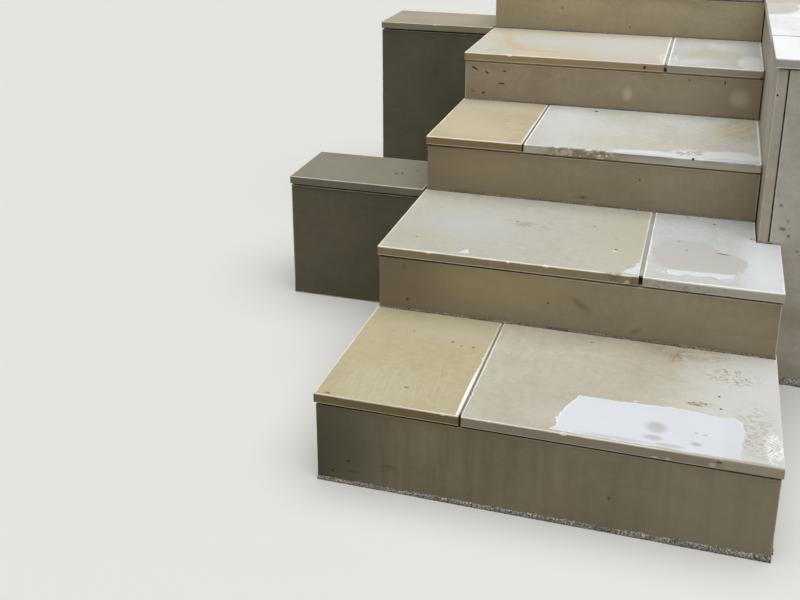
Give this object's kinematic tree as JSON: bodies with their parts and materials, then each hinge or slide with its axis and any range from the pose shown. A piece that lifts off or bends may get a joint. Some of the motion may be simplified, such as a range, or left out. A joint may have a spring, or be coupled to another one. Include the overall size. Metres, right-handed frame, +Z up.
{
  "type": "slab-clad garden steps",
  "caption": "Straight flight of garden steps in sawn slabs on a concrete core, between a clad retaining wall and low planter walls that step up beside it.",
  "frame": {"origin": "on the ground under the middle of the whole assembly's footprint", "axes": "+X to the right along the risers, +Y up the flight, +Z up"},
  "size_m": [1.878, 2.127, 0.805],
  "materials": {
    "buff_slab": "sawn, matt",
    "cream_slab": "sawn, matt, ochre veins",
    "pale_slab": "sawn, matt",
    "ochre_slab": "sawn, matt",
    "concrete": "rough cast",
    "blockwork": "open-textured block",
    "mortar": "sandy"
  },
  "bodies": {
    "root": {"core_course_1": "concrete", "core_course_2": "concrete", "core_course_3": "concrete", "core_course_4": "concrete", "core_course_5": "concrete", "flank_left_1": "buff_slab", "flank_left_2": "buff_slab", "flank_left_3": "buff_slab", "flank_left_4": "buff_slab", "flank_left_5": "buff_slab", "flank_right_1": "buff_slab", "flank_right_2": "buff_slab", "lower_planter_coping": "pale_slab", "lower_planter_core": "blockwork", "lower_planter_face_slab": "buff_slab", "mortar_beds": "mortar", "riser_1": "buff_slab", "riser_2": "buff_slab", "riser_3": "buff_slab", "riser_4": "buff_slab", "riser_5": "buff_slab", "tile_joints": "mortar", "tread_1_left": "ochre_slab", "tread_1_right": "cream_slab", "tread_2_left": "pale_slab", "tread_2_right": "pale_slab", "tread_3_left": "ochre_slab", "tread_3_right": "pale_slab", "tread_4_left": "cream_slab", "tread_4_right": "pale_slab", "tread_5_left": "cream_slab", "tread_5_right": "pale_slab", "upper_planter_coping": "pale_slab", "upper_planter_core": "blockwork", "upper_planter_face_slab": "buff_slab", "wall_cheek_slab_1": "buff_slab", "wall_cheek_slab_2": "buff_slab", "wall_cheek_slab_3": "buff_slab", "wall_coping_1": "pale_slab", "wall_coping_2": "pale_slab", "wall_coping_3": "pale_slab", "wall_core": "blockwork", "wall_front_slab": "buff_slab"}
  },
  "joints": []
}
